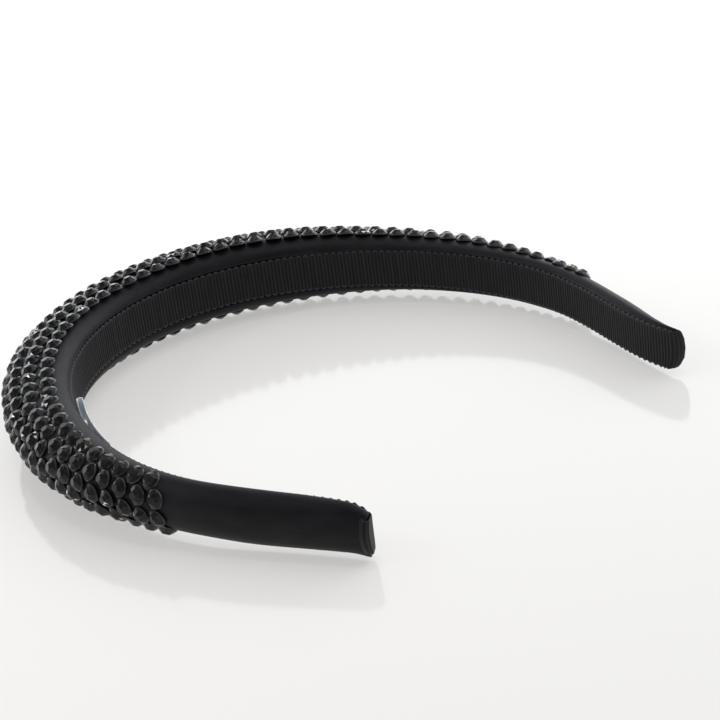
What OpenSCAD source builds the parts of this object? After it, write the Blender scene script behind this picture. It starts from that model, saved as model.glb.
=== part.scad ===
// Padded crystal headband, lying on its side as it rests on a table.
// In plan the band is a U: its inner face is one curve, and every place on the band is given
// by the run along that curve from the middle of the crown (far leg positive, near leg
// negative), the distance out from the inner face, and the height above the band's own plane.

/* [Plan] */
// Run of the far leg along the inner face, from the middle of the crown to its end
far_run = 169.6; // [164:0.2:171]
// Run of the near leg along the inner face, from the middle of the crown to its end
near_run = 164.6; // [161:0.2:171]

/* [Padded cover] */
// Width of the padding at the middle of the crown, from rim to rim
crown_w = 19.6; // [17:0.2:20.6]
// Thickness of the padding at the middle of the crown, inner face to crest
crown_t = 18.3; // [16:0.1:20]
// Width of the bare satin leg at its end
tip_w = 10.8; // [10.7:0.1:11.6]
// Thickness of the bare satin leg at its end
tip_t = 2.2; // [2:0.1:3.6]
// Where the rim lies, as a share of the thickness out from the inner face
rim_share = 0.33; // [0.32:0.01:0.42]

/* [Grosgrain lining] */
// Width of the ribbon
ribbon_w = 10; // [9:0.1:10.2]
// Thickness of the ribbon
ribbon_t = 0.8; // [0.6:0.1:1]
// Length of the ribbon that is turned back on the outer face of each end
turnback = 0.6; // [0.6:0.1:3]
// Outer radius of the ribbon where it turns round the corners of an end
fold_r = 1.2; // [1:0.1:1.3]

/* [Crystal paving] */
// Height of the stones above the satin
stone_h = 1.6; // [1.4:0.1:1.9]
// Run of the paving on the far leg, from the middle of the crown
far_paving = 129.5; // [115:0.5:134]
// Run of the paving on the near leg, from the middle of the crown
near_paving = 118; // [110:0.5:128]

/* [Blank label] */
// Width of the label's tape
label_w = 6; // [5:0.5:6.5]
// Length of the folded label along the band
label_run = 25; // [18:1:26]
// Run from the middle of the crown to the label's fold, on the near leg
label_start = 66; // [60:1:72]
// Thickness of the label's tape
label_t = 0.45; // [0.4:0.05:0.6]
// Width of the loop at the label's fold
loop_w = 1.5; // [1.4:0.1:1.8]
// Height of the label's upper edge above the ribbon's upper edge
label_rise = 1.5; // [1:0.1:2]
// Distance by which the fold leans away from the ribbon
label_lean = 0.4; // [0:0.1:0.8]

/* [Hidden] */

// Clearance between the ribbon or the label and what each is sewn to
sew_gap = 0.15;
// Clearance between the back of the stones and the satin
glue_gap = 0.35;
// Side of the seam in which the ribbon is sewn, above and below the ribbon
seam_z = ribbon_w / 2 + sew_gap;
// Depth of the flat that carries the ribbon
seat_u = ribbon_t + sew_gap;

// Run over which the plan's bends and the sections are given
plan_run = 171;

// Bends of the inner face, by share of the plan's run. A negative radius bends outwards.
// Columns: share of run, radius
bends = [
    [0.00, 50],
    [0.18, 60],
    [0.36, 85],
    [0.54, 83],
    [0.72, 68],
    [0.86, -375],
    [1.00, -34.5],
];
curvatures = [for (row = bends) [row[0], 1 / row[1]]];

// Sections of the padding, by share of the plan's run. The width and the thickness are
// shares of the way from the leg's end to the crown. The paving's edges are angles from the
// crest, where 90 is the rim. On the crown it reaches further round above than below.
// Columns: share of run, width, thickness, upper edge, lower edge
sections = [
    [0.00, 1.00, 1.000, 144, 106],
    [0.10, 0.97, 1.000, 138, 106],
    [0.20, 0.89, 0.986, 131, 104],
    [0.26, 0.82, 0.943, 122, 104],
    [0.34, 0.65, 0.849, 112, 102],
    [0.42, 0.49, 0.755, 106, 98],
    [0.50, 0.39, 0.655, 96, 94],
    [0.58, 0.32, 0.514, 88, 89],
    [0.66, 0.26, 0.325, 84, 84],
    [0.74, 0.25, 0.278, 84, 84],
    [0.82, 0.27, 0.278, 84, 84],
    [0.90, 0.18, 0.260, 84, 84],
    [0.96, 0.10, 0.160, 84, 84],
    [1.00, 0.00, 0.000, 84, 84],
];
function column(number) = [for (row = sections) [row[0], row[number]]];
widths = column(1);
thicknesses = column(2);
upper_edges = column(3);
lower_edges = column(4);
// Distance, as a share of the run, over which the table's corners are rounded
easing = 0.03;
function eased(share, table) = lookup(abs(share - easing), table) / 4
    + lookup(share, table) / 2
    + lookup(share + easing, table) / 4;

// Spacing of the rings along the cover and the paving, and of the ribbon's steps
cover_pitch = 3.6;
paving_pitch = 4.2;
ribbon_pitch = 2;
// Steps in a quarter of the section, and across the paving
quarter_steps = 6;
paving_steps = 18;
// Steps in a quarter turn of a fold
fold_steps = 4;

// Inner face of one leg, walked in short steps. Each entry holds x, y and heading.
walk_step = 0.5;
walk_count = ceil(plan_run / walk_step);
function bend_at(run) = lookup(run / plan_run, curvatures) * 180 / PI;
leg = [
    for (i = 0, at = [0, 0, 90];
        i <= walk_count;
        at = at + [walk_step * cos(at[2]), walk_step * sin(at[2]), -walk_step * bend_at(i * walk_step)],
        i = i + 1)
    at
];
function leg_at(run) = let (
    i = min(floor(run / walk_step), walk_count - 1),
    w = run / walk_step - i
) leg[i] * (1 - w) + leg[i + 1] * w;

// Plan position at a signed run and a distance out from the inner face
function place(run, out) = let (
    at = leg_at(abs(run)),
    side = run < 0 ? -1 : 1
) [at[0] - out * sin(at[2]), side * (at[1] + out * cos(at[2]))];

// Plan position past the end of a leg: a distance beyond the end and a distance out
function past_end(end_run, beyond, out) = let (
    at = leg_at(abs(end_run)),
    side = end_run < 0 ? -1 : 1
) [
    at[0] + beyond * cos(at[2]) - out * sin(at[2]),
    side * (at[1] + beyond * sin(at[2]) + out * cos(at[2]))
];

// Sizes of the section at a run
function share(run) = abs(run) / plan_run;
function half_w(run) = tip_w / 2 + (crown_w - tip_w) / 2 * eased(share(run), widths);
function thick(run) = tip_t + (crown_t - tip_t) * eased(share(run), thicknesses);
// On the thin ends of the legs the rim stays a little behind the ribbon's seat
least_rim = seat_u + 0.1;
function rim_u(run) = max(rim_share * thick(run), least_rim);
function upper_edge(run) = eased(share(run), upper_edges);
function lower_edge(run) = eased(share(run), lower_edges);
// The satin's lip stands level with the ribbon on the crown and sinks behind it on the legs
sink_from = 0.5;
sink_over = 0.2;
function lip_u(run) = seat_u * min(1, max(0, (share(run) - sink_from) / sink_over));

// Point of the section, as distance out and height, at an angle from the crest: the outer
// quarter is an ellipse from crest to rim, the inner one an ellipse from rim to seam.
function outer_point(run, a) = [
    rim_u(run) + (thick(run) - rim_u(run)) * cos(a),
    half_w(run) * sin(a)
];
function inner_point(run, a) = [
    rim_u(run) - (rim_u(run) - lip_u(run)) * sin(a - 90),
    seam_z + (half_w(run) - seam_z) * cos(a - 90)
];
function outer_normal(run, a) = [half_w(run) * cos(a), (thick(run) - rim_u(run)) * sin(a)];
function inner_normal(run, a) = [
    -(half_w(run) - seam_z) * sin(a - 90),
    (rim_u(run) - lip_u(run)) * cos(a - 90)
];
function upper_point(run, a) = a <= 90 ? outer_point(run, a) : inner_point(run, a);
function upper_normal(run, a) = let (
    n = a <= 90 ? outer_normal(run, a) : inner_normal(run, a)
) n / norm(n);
function mirrored(p, up) = up ? p : [p[0], -p[1]];
// The same point raised off the satin, above the crest for a positive angle, else below
function raised_point(run, a, lift) =
    mirrored(upper_point(run, abs(a)) + lift * upper_normal(run, abs(a)), a >= 0);

// A list of places from one run to another, evenly spread
function spread(from, to, pitch) = let (n = ceil((to - from) / pitch))
    [for (i = [0:n]) from + (to - from) * i / n];

function lifted(run, p) = let (q = place(run, p[0])) [q[0], q[1], p[1]];

function reversed(list) = [for (i = [len(list) - 1:-1:0]) list[i]];

// The flat end of a skin, as one face
function whole_end(sides) = [[for (j = [0:sides - 1]) j]];
// The flat end of a crescent, in strips between its outer and its inner side
function crescent_end(sides) = let (m = sides - 1) [
    for (i = [0:sides / 2 - 2])
    each [[i, i + 1, m - i - 1], [i, m - i - 1, m - i]]
];

// A closed skin through rings of equal count, with flat ends
module skin(rings, end) {
    count = len(rings);
    sides = len(rings[0]);
    points = [for (ring = rings) each ring];
    walls = [
        for (i = [0:count - 2], j = [0:sides - 1])
        let (
            a = i * sides + j,
            b = i * sides + (j + 1) % sides,
            c = b + sides,
            d = a + sides
        )
        each [[a, b, c], [a, c, d]]
    ];
    first = [for (face = end) reversed(face)];
    last = [for (face = end) [for (v = face) (count - 1) * sides + v]];
    polyhedron(points = points, faces = concat(walls, first, last), convexity = 10);
}

// The cover's section, once round: over the crest, under the ribbon and back. The flat under
// the ribbon starts a hair inside the seam, so that it has a corner of its own everywhere.
seat_inset = 0.05;
function cover_ring(run) = let (
    quarter = 90 / quarter_steps,
    arc = [for (i = [0:2 * quarter_steps]) upper_point(run, i * quarter)],
    upper = concat(arc, [[seat_u, seam_z - seat_inset]]),
    lower = [for (i = [len(upper) - 1:-1:1]) mirrored(upper[i], false)]
) [for (p = concat(upper, lower)) lifted(run, p)];

module padded_cover() {
    rings = [for (run = spread(-near_run, far_run, cover_pitch)) cover_ring(run)];
    color([0.09, 0.09, 0.10])
    skin(rings, whole_end(len(rings[0])));
}

// Distance before a leg's end at which the ribbon starts to turn
turn_start = 0.6;

// The ribbon's turn round the end of a leg, outer side first and inner side second
function fold_outer(end_run) = let (
    reach = sew_gap + ribbon_t,
    out = thick(end_run) + sew_gap + ribbon_t
) concat(
    [for (i = [0:fold_steps]) let (a = 90 * i / fold_steps)
        past_end(end_run, reach - fold_r + fold_r * sin(a), fold_r - fold_r * cos(a))],
    [for (i = [0:fold_steps]) let (a = 90 * i / fold_steps)
        past_end(end_run, reach - fold_r + fold_r * cos(a), out - fold_r + fold_r * sin(a))]
);
function turned_run(end_run) = end_run > 0 ? end_run - turnback : end_run + turnback;
function fold_inner(end_run) = let (back = turned_run(end_run)) [
    place(back, thick(back) + sew_gap + ribbon_t),
    place(back, thick(back) + sew_gap),
    past_end(end_run, sew_gap, thick(end_run) + sew_gap),
    past_end(end_run, sew_gap, ribbon_t)
];

module grosgrain_lining() {
    runs = spread(-near_run + turn_start, far_run - turn_start, ribbon_pitch);
    front = [for (run = runs) place(run, 0)];
    back = [for (run = reversed(runs)) place(run, ribbon_t)];
    color([0.07, 0.07, 0.08])
    translate([0, 0, -ribbon_w / 2])
    linear_extrude(height = ribbon_w)
    polygon(concat(
        front, fold_outer(far_run), fold_inner(far_run),
        back, reversed(fold_inner(-near_run)), reversed(fold_outer(-near_run))
    ));
}

// The paving's section: the faces of the stones one way and their backs the other way
function paving_ring(run) = let (
    top = upper_edge(run),
    bottom = -lower_edge(run),
    angles = [for (i = [0:paving_steps]) bottom + (top - bottom) * i / paving_steps],
    faces = [for (a = angles) raised_point(run, a, stone_h)],
    backs = [for (a = reversed(angles)) raised_point(run, a, glue_gap)]
) [for (p = concat(faces, backs)) lifted(run, p)];
paving_rings = [for (run = spread(-near_paving, far_paving, paving_pitch)) paving_ring(run)];

module crystal_pave() {
    color([0.14, 0.14, 0.16])
    skin(paving_rings, crescent_end(len(paving_rings[0])));
}

// The label is a folded tape: a loop at one end, both tails in the seam at the other
label_end = label_start + label_run;
fold_middle = label_start + loop_w / 2;
// The two tails lie on each other over this share of the label's length
tail_share = 0.25;
function label_share(run) = (run - label_start) / label_run;
function label_near(run) = -sew_gap - label_lean * (1 - label_share(run));
function label_far(run) = label_near(run) - loop_w + (loop_w - 2 * label_t) * label_share(run);
function label_arc(radius) = let (
    middle = (label_near(fold_middle) + label_far(fold_middle)) / 2
) [
    for (i = [0:2 * fold_steps]) let (a = 90 * i / fold_steps)
    place(-(fold_middle - radius * sin(a)), middle - radius * cos(a))
];
function label_hairpin(inset, last) = let (
    runs = spread(fold_middle, last, ribbon_pitch),
    radius = (label_near(fold_middle) - label_far(fold_middle)) / 2 - inset
) concat(
    label_arc(radius),
    [for (run = runs) place(-run, label_near(run) - inset)],
    [for (run = reversed(runs)) place(-run, label_far(run) + inset)]
);

module blank_label() {
    color([0.86, 0.88, 0.94])
    translate([0, 0, ribbon_w / 2 + label_rise - label_w])
    linear_extrude(height = label_w)
    difference() {
        polygon(label_hairpin(0, label_end));
        polygon(label_hairpin(label_t, label_end - tail_share * label_run));
    }
}

// The band rests on the paving's rim at the crown and near the paving's ends, where the
// padding is narrower, so it leans towards the legs.
rest_run_a = 0.04 * plan_run;
rest_run_b = near_paving;
rest_tilt = atan((half_w(rest_run_a) - half_w(rest_run_b))
    / (place(rest_run_b, rim_u(rest_run_b))[0] - place(rest_run_a, rim_u(rest_run_a))[0]));
function leaned(p) = [
    p[0] * cos(rest_tilt) + p[2] * sin(rest_tilt),
    p[1],
    -p[0] * sin(rest_tilt) + p[2] * cos(rest_tilt)
];
paving_points = [for (ring = paving_rings, p = ring) leaned(p)];
end_points = [
    for (end_run = [far_run, -near_run], q = fold_outer(end_run), z = [-1, 1])
    leaned([q[0], q[1], z * ribbon_w / 2])
];
function axis_of(points, axis) = [for (p = points) p[axis]];
// The origin is under the middle of the box: the crown's stones bound it at one end and
// the ribbon's turns at the other
mid_x = (min(axis_of(paving_points, 0)) + max(axis_of(end_points, 0))) / 2;
mid_y = (min(axis_of(paving_points, 1)) + max(axis_of(paving_points, 1))) / 2;
rest_z = -min(axis_of(paving_points, 2));

// Sets a piece down as the band lies
module rested() {
    translate([-mid_x, -mid_y, rest_z])
    rotate([0, rest_tilt, 0])
    children();
}

rested() padded_cover();
rested() grosgrain_lining();
rested() crystal_pave();
rested() blank_label();
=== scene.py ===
# %% [markdown]
# # A padded headband set with crystals
#
# The real object is a strip of foam bent to a U and wrapped in black satin. A ribbed ribbon is
# sewn along its inside and turned round both ends, black faceted stones are glued over the
# crown, and a folded tape label is caught in the seam of one leg. It lies on its side.
#
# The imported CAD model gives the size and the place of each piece. It is loaded first and
# never moved. Every piece below takes the place of one CAD solid.

# %% Load the CAD frame
import math
import bpy
import numpy as np
from mathutils import Matrix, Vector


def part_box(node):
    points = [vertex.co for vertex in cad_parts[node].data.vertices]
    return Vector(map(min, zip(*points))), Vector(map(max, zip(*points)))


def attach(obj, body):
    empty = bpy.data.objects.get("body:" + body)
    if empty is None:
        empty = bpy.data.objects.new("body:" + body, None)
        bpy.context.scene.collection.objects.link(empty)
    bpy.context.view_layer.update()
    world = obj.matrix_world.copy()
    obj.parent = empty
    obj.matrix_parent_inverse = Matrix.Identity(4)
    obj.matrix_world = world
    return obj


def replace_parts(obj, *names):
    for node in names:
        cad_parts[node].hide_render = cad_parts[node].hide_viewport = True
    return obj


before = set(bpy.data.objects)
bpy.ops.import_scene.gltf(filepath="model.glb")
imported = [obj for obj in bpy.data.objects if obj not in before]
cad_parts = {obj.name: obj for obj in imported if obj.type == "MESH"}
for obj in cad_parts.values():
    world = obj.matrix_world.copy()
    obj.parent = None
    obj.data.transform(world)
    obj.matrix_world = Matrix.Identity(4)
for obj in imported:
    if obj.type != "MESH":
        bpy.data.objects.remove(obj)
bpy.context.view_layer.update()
MM = 0.001

# %% [markdown]
# ## The band's own measures
#
# All pieces follow one curve, the inner face of the band seen from above. A place on the band
# is given by its run along that curve from the middle of the crown (the far leg counts
# positive), its distance out from the inner face, and its height above the band's own plane.
# The measures are in millimetres and are the ones that the CAD model was made from.

# %% Measures of the band
FAR_RUN, NEAR_RUN = 169.6, 164.6
CROWN_WIDTH, CROWN_THICKNESS = 19.6, 18.3
TIP_WIDTH, TIP_THICKNESS = 10.8, 2.2
RIM_SHARE = 0.33
RIBBON_WIDTH, RIBBON_THICKNESS, RIB_PITCH = 10.0, 0.8, 0.968
STONE_HEIGHT = 1.6
FAR_PAVING, NEAR_PAVING = 129.5, 118.0
SEW_GAP = 0.15
SEAM = RIBBON_WIDTH / 2 + SEW_GAP
SEAT = RIBBON_THICKNESS + SEW_GAP
PLAN_RUN = 171.0
# Share of the run, radius of the bend. A negative radius bends outwards.
BENDS = np.array([
    (0.00, 50.0), (0.18, 60.0), (0.36, 85.0), (0.54, 83.0), (0.72, 68.0), (0.86, -375.0),
    (1.00, -34.5),
])
# Share of the run, width, thickness, and the paving's upper and lower edge in degrees from
# the crest. Width and thickness are shares of the way from the leg's end to the crown.
SECTIONS = np.array([
    (0.00, 1.00, 1.000, 144, 106), (0.10, 0.97, 1.000, 138, 106), (0.20, 0.89, 0.986, 131, 104),
    (0.26, 0.82, 0.943, 122, 104), (0.34, 0.65, 0.849, 112, 102), (0.42, 0.49, 0.755, 106, 98),
    (0.50, 0.39, 0.655, 96, 94), (0.58, 0.32, 0.514, 88, 89), (0.66, 0.26, 0.325, 84, 84),
    (0.74, 0.25, 0.278, 84, 84), (0.82, 0.27, 0.278, 84, 84), (0.90, 0.18, 0.260, 84, 84),
    (0.96, 0.10, 0.160, 84, 84), (1.00, 0.00, 0.000, 84, 84),
])
EASING = 0.03


def eased(run, column):
    """A column of the section table at a run: the mean of three straight-line readings, a
    little before, at and a little after the place, which rounds the table's corners."""
    share = np.abs(run) / PLAN_RUN
    before, here, after = (
        np.interp(np.abs(share + step), SECTIONS[:, 0], SECTIONS[:, column])
        for step in (-EASING, 0, EASING)
    )
    return before / 4 + here / 2 + after / 4


def half_width(run):
    return TIP_WIDTH / 2 + (CROWN_WIDTH - TIP_WIDTH) / 2 * eased(run, 1)


def thickness(run):
    return TIP_THICKNESS + (CROWN_THICKNESS - TIP_THICKNESS) * eased(run, 2)


def rim_place(run):
    """Distance out of the rim. On the thin ends it stays a little behind the ribbon's seat."""
    return np.maximum(RIM_SHARE * thickness(run), SEAT + 0.1)


def lip(run):
    """Depth of the satin's lip behind the ribbon's face: none on the crown, where they are
    level, and the whole seat on the legs."""
    return SEAT * np.clip((np.abs(run) / PLAN_RUN - 0.5) / 0.2, 0, 1)


# %% [markdown]
# The inner face is found by walking: take a short step, turn by the step times the curvature,
# and repeat. Summing the turns and the steps with `cumsum` does the whole walk at once.

# %% Walk the inner face
WALK_STEP = 0.5
walk_runs = np.arange(math.ceil(PLAN_RUN / WALK_STEP) + 1) * WALK_STEP
walk_turns = WALK_STEP * np.interp(walk_runs / PLAN_RUN, BENDS[:, 0], 1 / BENDS[:, 1])
walk_heading = math.pi / 2 - np.concatenate([[0], np.cumsum(walk_turns[:-1])])
walk_x = np.concatenate([[0], np.cumsum(WALK_STEP * np.cos(walk_heading[:-1]))])
walk_y = np.concatenate([[0], np.cumsum(WALK_STEP * np.sin(walk_heading[:-1]))])


def plan_place(run, out, beyond=0.0):
    """Plan place at a run: the walked point, moved out along the normal and beyond along the
    heading. The near leg is the mirror image of the far one."""
    reach = np.abs(run)
    side = np.where(np.asarray(run) < 0, -1.0, 1.0)
    heading = np.interp(reach, walk_runs, walk_heading)
    x = np.interp(reach, walk_runs, walk_x) + beyond * np.cos(heading) - out * np.sin(heading)
    y = np.interp(reach, walk_runs, walk_y) + beyond * np.sin(heading) + out * np.cos(heading)
    return x, side * y


def in_plane(run, out, height, beyond=0.0):
    """Points of the band's own plane as an array of x, y, z."""
    x, y = plan_place(run, out, beyond)
    return np.stack(np.broadcast_arrays(x, y, height), axis=-1)


print("inner face in mm:", round(2 * walk_y.max(), 1), "wide,", round(walk_x.max(), 1), "deep")

# %% [markdown]
# ## The padding's section
#
# Cut across, the padding is a soft D. From the crest on the outer face to the rim it is a
# quarter of an ellipse, and from the rim to the ribbon's seam it is a quarter of a smaller
# one. An angle from the crest says where a point of the section lies: 0 is the crest, 90 the
# rim, 180 the seam. Below the crest the angle is negative.

# %% Section of the padding
def section_point(run, angle, lift=0.0):
    """Distance out and height of the section at an angle in degrees, raised by lift along the
    normal. Both ellipses are (a cos, b sin) curves, and their normal is (b cos, a sin)."""
    run, angle = np.broadcast_arrays(np.asarray(run, float), np.asarray(angle, float))
    turn = np.radians(np.abs(angle))
    full, half = thickness(run), half_width(run)
    rim = rim_place(run)
    outer = turn <= math.pi / 2
    inwards = np.maximum(turn - math.pi / 2, 0)
    out = np.where(outer, rim + (full - rim) * np.cos(turn),
                   rim - (rim - lip(run)) * np.sin(inwards))
    height = np.where(outer, half * np.sin(turn), SEAM + (half - SEAM) * np.cos(inwards))
    normal_out = np.where(outer, half * np.cos(turn), -(half - SEAM) * np.sin(inwards))
    normal_up = np.where(outer, (full - rim) * np.sin(turn), (rim - lip(run)) * np.cos(inwards))
    length = np.hypot(normal_out, normal_up)
    sign = np.where(angle < 0, -1.0, 1.0)
    return out + lift * normal_out / length, sign * (height + lift * normal_up / length)


def on_padding(run, angle, lift=0.0):
    out, height = section_point(run, angle, lift)
    return in_plane(run, out, height)


# %% [markdown]
# ## Shape of the ends
#
# The ends of the legs are folded by hand, so they aren't square. The outer side of both ends
# reaches further than the inner side, and the far end's corners are drawn back. The near end's
# upper corner is pressed down, and its lower one is drawn back a little and flares. The cover
# and the ribbon both follow this, by a shift along the leg and a change of height that die out
# a few millimetres before the end.

# %% Ends of the legs
END_ZONE = 5.0
END_SLANT = 1.1
FAR_UPPER_PULL, FAR_LOWER_PULL, NEAR_LOWER_PULL = 0.3, 1.5, 0.3
CORNER_FROM, CORNER_SPAN, CORNER_MOST = 1.0, 4.0, 1.4
CORNER_PRESS = 1.4


def end_reach(run, beyond):
    """How far into the end zone a place lies, squared: 0 before it and 1 at the leg's end."""
    end = np.where(np.asarray(run) > 0, FAR_RUN, NEAR_RUN)
    return np.clip((np.abs(run) + beyond - end + END_ZONE) / END_ZONE, 0, 1) ** 2


def end_shift(run, beyond, out, height):
    """Shift along the leg near its end: the slant grows with the distance out, and the pull
    grows with the square of the height above or below the middle."""
    upper = np.clip((height - CORNER_FROM) / CORNER_SPAN, 0, CORNER_MOST) ** 2
    lower = np.clip((-height - CORNER_FROM) / CORNER_SPAN, 0, CORNER_MOST) ** 2
    pull = np.where(np.asarray(run) > 0, FAR_UPPER_PULL * upper + FAR_LOWER_PULL * lower,
                    NEAR_LOWER_PULL * lower)
    slant = END_SLANT * np.clip(out / (TIP_THICKNESS + SEAT), 0, 1.2)
    return end_reach(run, beyond) * (slant - pull)


def end_height(run, beyond, height, flare):
    """Height with the near end's upper corner pressed down and its lower corner moved down by
    the flare."""
    near = np.where(np.asarray(run) > 0, 0.0, end_reach(run, beyond))
    pressed_down = CORNER_PRESS * np.clip(height / (RIBBON_WIDTH / 2), 0, 1) ** 2
    flared = flare * np.clip(-height / (RIBBON_WIDTH / 2), 0, 1) ** 2
    return height - near * (pressed_down + flared)


# %% [markdown]
# ## How the band lies
#
# On the table the band leans a little, because the padding is wider on the crown than on the
# legs. The tilt follows from the two places that touch, and the frame's own box says where the
# middle of the band is, so nothing is fitted by eye.

# %% Lay the band on the table
CROWN_TOUCH = 0.04
touch_a, touch_b = CROWN_TOUCH * PLAN_RUN, NEAR_PAVING
touch_gap = (plan_place(touch_b, rim_place(touch_b))[0]
             - plan_place(touch_a, rim_place(touch_a))[0])
rest_tilt = math.atan((half_width(touch_a) - half_width(touch_b)) / touch_gap)


def tilted(points):
    """The points turned by the rest tilt about the Y axis."""
    x, y, z = np.moveaxis(points, -1, 0)
    c, s = math.cos(rest_tilt), math.sin(rest_tilt)
    return np.stack([x * c + z * s, y, z * c - x * s], axis=-1)


run_grid, angle_grid = np.meshgrid(np.linspace(-NEAR_RUN, FAR_RUN, 400),
                                   np.linspace(-180, 180, 181), indexing="ij")
own_skin = tilted(on_padding(run_grid, angle_grid)).reshape(-1, 3)
cover_low, cover_high = (np.array(corner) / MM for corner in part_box("padded_cover"))
rest_shift = (cover_low + cover_high) / 2 - (own_skin.min(0) + own_skin.max(0)) / 2
print("tilt", round(math.degrees(rest_tilt), 3), "shift", rest_shift.round(3), "box differs by",
      (np.ptp(own_skin, axis=0) - (cover_high - cover_low)).round(3), "mm")


def laid_down(points):
    """Band points in millimetres as places in the frame, in metres."""
    return (tilted(points) + rest_shift) * MM


# %% [markdown]
# ## Meshes from grids
#
# Every piece is an array of points and an array of faces. `foreach_set` hands both to Blender
# in one go, which is far quicker than adding vertices one by one.

# %% Mesh helpers
def new_piece(name, points, face_groups, uv=None, smooth=True):
    """An object at the origin from points in metres and arrays of faces, where the faces of
    one array have the same count of corners. uv holds one pair for each vertex."""
    mesh = bpy.data.meshes.new(name)
    corners = np.concatenate([group.ravel() for group in face_groups]).astype(np.int32)
    sizes = np.concatenate([np.full(len(group), group.shape[1]) for group in face_groups])
    starts = np.concatenate([[0], np.cumsum(sizes)[:-1]]).astype(np.int32)
    mesh.vertices.add(len(points))
    mesh.vertices.foreach_set("co", np.asarray(points, np.float32).ravel())
    mesh.loops.add(len(corners))
    mesh.loops.foreach_set("vertex_index", corners)
    mesh.polygons.add(len(sizes))
    mesh.polygons.foreach_set("loop_start", starts)
    if uv is not None:
        layer = mesh.uv_layers.new(name="cloth")
        layer.uv.foreach_set("vector", np.asarray(uv, np.float32)[corners].ravel())
    mesh.polygons.foreach_set("use_smooth", np.full(len(sizes), smooth))
    mesh.update(calc_edges=True)
    mesh.validate()
    piece = bpy.data.objects.new(name, mesh)
    bpy.context.scene.collection.objects.link(piece)
    print(name, len(points), "points,", int((sizes - 2).sum()), "triangles")
    return piece


def tube_faces(rings, sides):
    """Quads of a tube: ring i, side j joins to the next ring and the next side, which wraps."""
    i, j = np.meshgrid(np.arange(rings - 1), np.arange(sides), indexing="ij")
    a, b = i * sides + j, i * sides + (j + 1) % sides
    return np.stack([a, b, b + sides, a + sides], axis=-1).reshape(-1, 4)


def end_faces(first, sides, flip):
    """Quads that close a ring of an even count, in strips from one side to the other."""
    i = np.arange(sides // 2 - 1)
    quads = np.stack([i, i + 1, sides - 2 - i, sides - 1 - i], axis=-1) + first
    return quads[:, ::-1] if flip else quads


def closed_tube(rings, sides, flip=False):
    """Quads of a tube with both ends closed, flipped if its rings run the other way round."""
    walls = tube_faces(rings, sides)
    return [np.concatenate([
        walls[:, ::-1] if flip else walls,
        end_faces(0, sides, not flip),
        end_faces((rings - 1) * sides, sides, flip),
    ])]


# %% [markdown]
# ## Finishes
#
# All finishes are built from nodes on Blender's Principled shader. Cloth reads the piece's own
# UV map, laid out in millimetres along and across the cloth, so that threads follow the piece.
# A small helper makes the nodes and their links in one line each.

# %% Material helpers
def new_finish(name, roughness, ior=1.5, **fixed):
    """An empty Principled material, its node adder and its shader."""
    finish = bpy.data.materials.new(name)
    finish.use_nodes = True
    tree = finish.node_tree
    shader = tree.nodes["Principled BSDF"]
    shader.inputs["Roughness"].default_value = roughness
    shader.inputs["IOR"].default_value = ior
    for socket, value in fixed.items():
        shader.inputs[socket.replace("_", " ")].default_value = value

    def add(kind, links=None, **settings):
        """Adds a node, sets its properties and inputs, and links {input: output socket}."""
        node = tree.nodes.new(kind)
        for key, value in settings.items():
            if hasattr(node, key):
                setattr(node, key, value)
            else:
                node.inputs[key.replace("_", " ")].default_value = value
        for key, output in (links or {}).items():
            tree.links.new(output, node.inputs[key])
        return node

    def link(output, socket):
        tree.links.new(output, shader.inputs[socket])

    return finish, add, link


def stretched_noise(add, source, scale, along, across, detail=2.0):
    """Noise drawn out along the cloth: the coordinates are scaled unevenly before it."""
    placed = add("ShaderNodeMapping", {"Vector": source}, Scale=(along, across, 1.0))
    return add("ShaderNodeTexNoise", {"Vector": placed.outputs["Vector"]}, Scale=scale,
               Detail=detail)


def two_tones(add, factor, dark, light, low=0.35, high=0.65):
    ramp = add("ShaderNodeValToRGB", {"Fac": factor})
    ramp.color_ramp.elements[0].color = (*dark, 1)
    ramp.color_ramp.elements[1].color = (*light, 1)
    ramp.color_ramp.elements[0].position = low
    ramp.color_ramp.elements[1].position = high
    return ramp.outputs["Color"]


# %% [markdown]
# ### Satin
#
# Satin shows long floating threads, so it shines in soft streaks across them and has almost no
# visible weave. Fine streaks move the roughness and the bump, a coarse noise makes the black a
# little uneven, and the sheen lightens it where it turns away.

# %% Satin finish
satin, add, link = new_finish("black_satin", 0.5, Sheen_Weight=0.06, Sheen_Roughness=0.3,
                              Specular_IOR_Level=0.15)
cloth_map = add("ShaderNodeUVMap", uv_map="cloth").outputs["UV"]
floats = stretched_noise(add, cloth_map, 1.0, 0.5, 7.0)
mottle = stretched_noise(add, cloth_map, 1.0, 0.12, 0.3, detail=3.0)
link(two_tones(add, mottle.outputs["Fac"], (0.0065, 0.0065, 0.008), (0.012, 0.012, 0.0145)),
     "Base Color")
satin_gloss = add("ShaderNodeMapRange", {"Value": floats.outputs["Fac"]}, From_Min=0.3,
                  From_Max=0.7, To_Min=0.42, To_Max=0.58)
link(satin_gloss.outputs["Result"], "Roughness")
satin_bump = add("ShaderNodeBump", {"Height": floats.outputs["Fac"]}, Strength=0.25,
                 Distance=0.00006)
link(satin_bump.outputs["Normal"], "Normal")
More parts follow.
